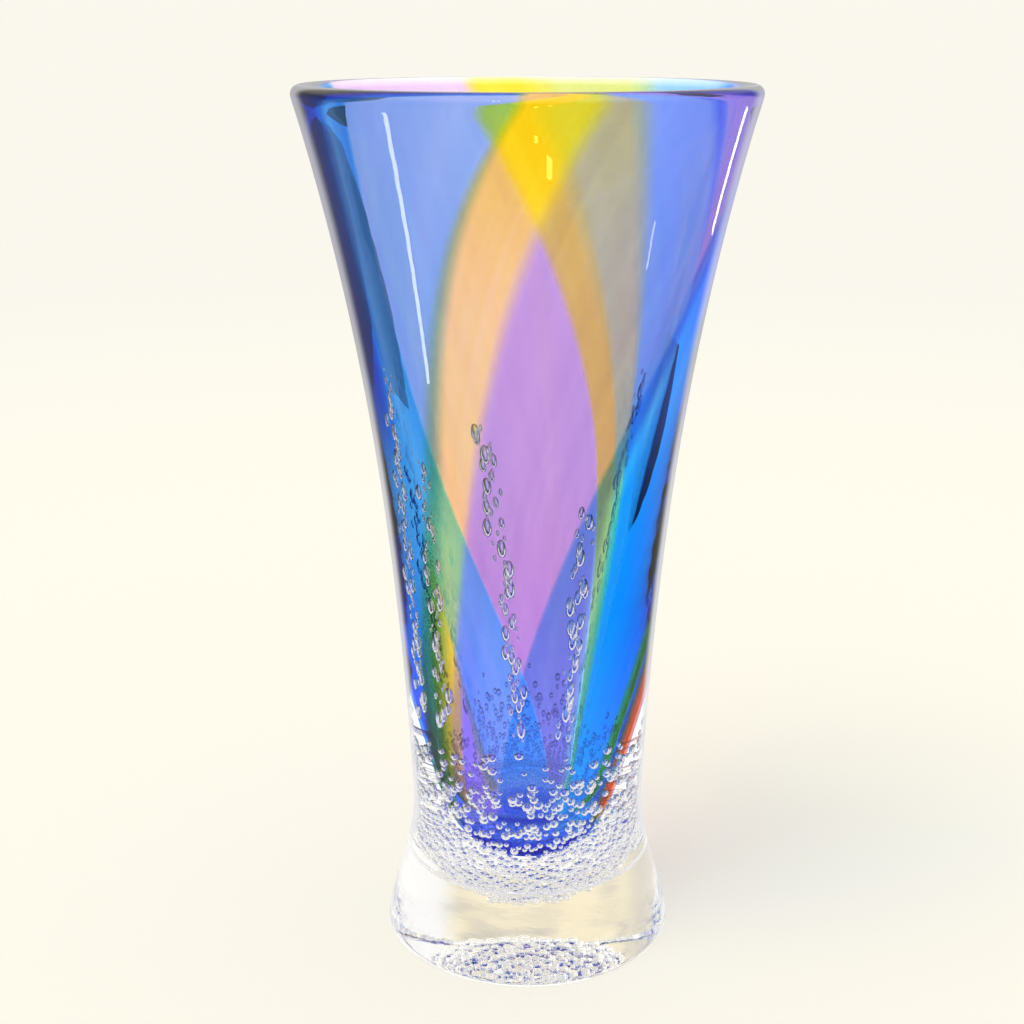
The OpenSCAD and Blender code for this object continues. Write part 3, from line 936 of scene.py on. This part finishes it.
def carpetTree():
    tree, start, end = geometryTree("bubbleCarpet", [
        ("Spacing", "NodeSocketFloat"), ("Most", "NodeSocketFloat"), ("Depth Spread", "NodeSocketFloat"),
        ("Smallest", "NodeSocketFloat"), ("Largest", "NodeSocketFloat"), ("Skew", "NodeSocketFloat"),
        ("Seed", "NodeSocketInt"), ("Material", "NodeSocketMaterial")])
    link = tree.links.new
    scatter = addNode(tree, "GeometryNodeDistributePointsOnFaces", distribute_method="POISSON")
    crowd = addNode(tree, "GeometryNodeInputNamedAttribute", data_type="FLOAT")
    crowd.inputs["Name"].default_value = "crowd"
    swell = addNode(tree, "GeometryNodeInputNamedAttribute", data_type="FLOAT")
    swell.inputs["Name"].default_value = "swell"
    link(start.outputs["Geometry"], scatter.inputs["Mesh"])
    link(start.outputs["Spacing"], scatter.inputs["Distance Min"])
    link(start.outputs["Most"], scatter.inputs["Density Max"])
    link(crowd.outputs["Attribute"], scatter.inputs["Density Factor"])
    link(start.outputs["Seed"], scatter.inputs["Seed"])
    size = mathNode(tree, "MULTIPLY", skewedSize(tree, start, 3), swell.outputs["Attribute"])
    # some lie deeper in the glass than others
    points = strayed(tree, start, scatter.outputs["Points"], scatter.outputs["Normal"], "Depth Spread")
    finishBubbles(tree, start, end, points, scatter.outputs["Rotation"], size)
    return tree


def streamTree():
    tree, start, end = geometryTree("bubbleStream", [
        ("Count", "NodeSocketInt"), ("Side Spread", "NodeSocketFloat"), ("Smallest", "NodeSocketFloat"),
        ("Largest", "NodeSocketFloat"), ("Skew", "NodeSocketFloat"), ("Stretch", "NodeSocketFloat"),
        ("Seed", "NodeSocketInt"), ("Material", "NodeSocketMaterial")])
    link = tree.links.new
    path = addNode(tree, "GeometryNodeMeshToCurve")
    points = addNode(tree, "GeometryNodeCurveToPoints", mode="COUNT")
    link(start.outputs["Geometry"], path.inputs["Mesh"])
    link(path.outputs[0], points.inputs["Curve"])
    link(start.outputs["Count"], points.inputs["Count"])
    # stray to the sides, round the vase's axis
    where = addNode(tree, "GeometryNodeInputPosition")
    side = addNode(tree, "ShaderNodeVectorMath", operation="CROSS_PRODUCT")
    side.inputs[1].default_value = (0, 0, 1)
    unit = addNode(tree, "ShaderNodeVectorMath", operation="NORMALIZE")
    link(where.outputs[0], side.inputs[0])
    link(side.outputs[0], unit.inputs[0])
    moved = strayed(tree, start, points.outputs["Points"], unit.outputs[0], "Side Spread")
    # tall bubbles lie along the stream
    wide = skewedSize(tree, start, 5)
    scale = addNode(tree, "ShaderNodeCombineXYZ")
    link(wide, scale.inputs["X"])
    link(wide, scale.inputs["Y"])
    link(mathNode(tree, "MULTIPLY", wide, start.outputs["Stretch"]), scale.inputs["Z"])
    finishBubbles(tree, start, end, moved, points.outputs["Rotation"], scale.outputs[0])
    return tree


carpetNodes = carpetTree()
streamNodes = streamTree()


def grownPiece(name, base, tree, values):
    # runs the tree on the base mesh and keeps the result as a plain mesh
    host = bpy.data.objects.new(name + "Host", base)
    scene.collection.objects.link(host)
    modifier = host.modifiers.new("grow", "NODES")
    modifier.node_group = tree
    for item in tree.interface.items_tree:
        if item.in_out == "INPUT" and item.name in values:
            modifier[item.identifier] = values[item.name]
    ready = host.evaluated_get(bpy.context.evaluated_depsgraph_get())
    mesh = bpy.data.meshes.new_from_object(ready)
    host.modifiers.remove(modifier)
    bpy.data.objects.remove(host)
    mesh.name = name
    piece = bpy.data.objects.new(name, mesh)
    scene.collection.objects.link(piece)
    print(name, len(mesh.polygons), "faces")
    return piece


carpet = {
    "sides": 96, "ringStep": 1.5 * mm, "depth": 2.0 * mm, "Depth Spread": 1.5 * mm,
    "crowdedTo": 40 * mm, "sparseFrom": 60 * mm, "sparse": 0.5, "ends": 88 * mm,
    "swell": 1.25,
    "Spacing": 1.7 * mm, "Most": 800000.0, "Smallest": 0.7 * mm, "Largest": 1.5 * mm, "Skew": 1.2,
}

bowlSide = profileOf("second_gather", 1)
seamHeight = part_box("foot")[1].z


def carpetSheet(name, low, high):
    line = smoothLine(bowlSide, carpet["ringStep"])
    line = line + carpet["depth"] * outward(line)
    line = line[(line[:, 1] >= low) & (line[:, 1] <= high)]
    sides = carpet["sides"]
    turn = np.arange(sides) / sides * 2 * math.pi
    spots = np.concatenate([
        np.stack([r * np.sin(turn), -r * np.cos(turn), np.full(sides, z)], 1) for r, z in line])
    faces = []
    for i in range(len(line) - 1):
        for j in range(sides):
            k = (j + 1) % sides
            faces.append((i * sides + j, i * sides + k, (i + 1) * sides + k, (i + 1) * sides + j))
    mesh = bpy.data.meshes.new(name)
    mesh.from_pydata(spots.tolist(), [], faces)
    z = spots[:, 2]
    rise = smoothStep((z - carpet["crowdedTo"]) / (carpet["sparseFrom"] - carpet["crowdedTo"]))
    thin = smoothStep((carpet["ends"] - z) / (carpet["ends"] - carpet["sparseFrom"]))
    crowd = (1 + (carpet["sparse"] - 1) * rise) * thin
    for label, value in (("crowd", crowd), ("swell", 1 + (carpet["swell"] - 1) * rise)):
        mesh.attributes.new(label, "FLOAT", "POINT").data.foreach_set("value", value.astype(np.float32))
    return mesh


def carpetValues(seed):
    values = {key: carpet[key] for key in ("Spacing", "Most", "Depth Spread", "Smallest", "Largest", "Skew")}
    return {**values, "Seed": seed, "Material": trappedAir}


for pieceName, nodeName, lowEdge, highEdge, seed in (
        ("bubbleFloor", "bubble_floor", 0, seamHeight, 4),
        ("bubbleCollar", "bubble_collar", seamHeight, carpet["ends"], 9)):
    sheet = carpetSheet(pieceName + "Sheet", lowEdge, highEdge)
    standFor(grownPiece(pieceName, sheet, carpetNodes, carpetValues(seed)), "trapped_air", nodeName)


streams = {
    "depth": 1.0 * mm, "step": 3 * mm, "firstSeed": 21,
    "sway": (-9, 6, -2, 0, -4),      # degrees off its trail, to the right at the low end and back at the top
    "perMillimetre": 0.55, "Side Spread": 3.0 * mm, "Smallest": 0.4 * mm, "Largest": 1.6 * mm,
    "Skew": 1.4, "Stretch": 2.2,
}


def makeStream(number):
    nodeName = "bubble_stream_" + str(number)
    low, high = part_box(nodeName)
    turn = math.atan2(low.x + high.x, -(low.y + high.y))
    heights = np.arange(low.z, high.z, streams["step"])
    radius = np.interp(heights, bowlSide[:, 1], bowlSide[:, 0]) + streams["depth"]
    sway = math.radians(streams["sway"][number - 1])
    turn = turn + np.linspace(sway, -sway, len(heights))
    spots = np.stack([radius * np.sin(turn), -radius * np.cos(turn), heights], 1)
    mesh = bpy.data.meshes.new("streamPath")
    mesh.from_pydata(spots.tolist(), [(k, k + 1) for k in range(len(spots) - 1)], [])
    values = {key: streams[key] for key in ("Side Spread", "Smallest", "Largest", "Skew", "Stretch")}
    count = round((high.z - low.z) / mm * streams["perMillimetre"])
    seed = streams["firstSeed"] + number - 1
    values = {**values, "Count": count, "Seed": seed, "Material": trappedAir}
    piece = grownPiece("bubbleStream" + str(number), mesh, streamNodes, values)
    standFor(piece, "trapped_air", nodeName)


for streamNumber in range(1, 6):
    makeStream(streamNumber)
print("bubbles ready")


# lamps, and the cards that the glass mirrors or shows through itself

sunLamp = {"aim": (0.45, 0.35, -1.0), "strength": 1.1, "spread": 35}
cardLift = 1 * mm                # height of the cards that lie on the table

cards = {
    # dark cards seen only through the glass: two far flags for the corners under the lip, and two patches of
    # painted shade lying on the table
    "leftFlag": {
        "corners": ((-2.43, 3, 0.265), (-0.95, 3, 0.265), (-0.95, 3, 0.6), (-2.43, 3, 0.6)),
        "glow": 0.0, "through": True},
    "rightFlag": {
        "corners": ((1.4, 3, 0.29), (2.43, 3, 0.29), (2.43, 3, 0.6), (1.4, 3, 0.6)),
        "glow": 0.2, "through": True},
    "leftShade": {
        "corners": (
            (-0.21, 0.50), (-0.24, 0.70), (-0.31, 1.03), (-0.44, 1.48), (-0.82, 2.67), (-2.1, 5.8), (-4, 8),
            (-3, 3), (-1.6, 1.0), (-0.8, 0.5), (-0.5, 0.38)),
        "glow": 0.36, "through": True},
    # painted shade lying on the table at the right-back, seen only through the glass
    "rightWedge": {
        "corners": (
            (0.215, 0.07), (0.235, 0.17), (0.262, 0.24), (0.295, 0.285), (0.35, 0.32), (0.45, 0.36),
            (0.50, 0.20), (0.35, 0.05)),
        "glow": 0.06, "through": True},
    # lights that show only as reflections on the skin
    "leftStrip": {
        "middle": (-0.26, -0.118, 0.14), "facing": (0.26, 0.118, 0), "size": (0.012, 0.095),
        "glow": 9.0, "through": False},
    "rightStrip": {
        "middle": (0.265, -0.105, 0.143), "facing": (-0.265, 0.105, 0), "size": (0.005, 0.02),
        "glow": 7.0, "through": False},
    "edgeStrip": {
        "middle": (0.22, 0.122, 0.224), "facing": (-0.16, -0.16, 0), "size": (0.011, 0.053),
        "glow": 8.0, "through": False},
    "frontLight": {
        "middle": (-0.255, -0.95, 0.657), "facing": (0, 1, -0.2), "size": (0.066, 0.026),
        "glow": 600.0, "through": False},
    "frontSpark": {
        "middle": (-0.089, -0.95, 0.69), "facing": (0, 1, -0.2), "size": (0.04, 0.012),
        "glow": 600.0, "through": False},
}


def cardCorners(values):
    if "corners" in values:
        return [corner if len(corner) == 3 else (*corner, cardLift) for corner in values["corners"]]
    wide, tall = (size / 2 for size in values["size"])
    turn = Vector(values["facing"]).to_track_quat("Z", "Y")
    flat = [(-wide, -tall, 0), (wide, -tall, 0), (wide, tall, 0), (-wide, tall, 0)]
    return [turn @ Vector(corner) + Vector(values["middle"]) for corner in flat]


def makeSun():
    sun = bpy.data.lights.new("softSun", "SUN")
    sun.energy = sunLamp["strength"]
    sun.angle = math.radians(sunLamp["spread"])
    holder = bpy.data.objects.new("softSun", sun)
    holder.rotation_euler = Vector(sunLamp["aim"]).to_track_quat("-Z", "Y").to_euler()
    holder.visible_camera = False
    holder.visible_glossy = False
    holder.visible_transmission = False
    scene.collection.objects.link(holder)


def makeCard(name, values):
    mesh = bpy.data.meshes.new(name)
    corners = cardCorners(values)
    mesh.from_pydata(corners, [], [range(len(corners))])
    material = bpy.data.materials.new(name)
    tree = newTree(material)
    surfaceOut(tree, glowing(tree, plainWhite, values["glow"]))
    mesh.materials.append(material)
    card = bpy.data.objects.new(name, mesh)
    card.visible_camera = False
    card.visible_diffuse = False
    card.visible_shadow = False
    card.visible_transmission = values["through"]
    card.visible_glossy = not values["through"]
    scene.collection.objects.link(card)


makeSun()
for cardName, cardValues in cards.items():
    makeCard(cardName, cardValues)
print("lamps ready")
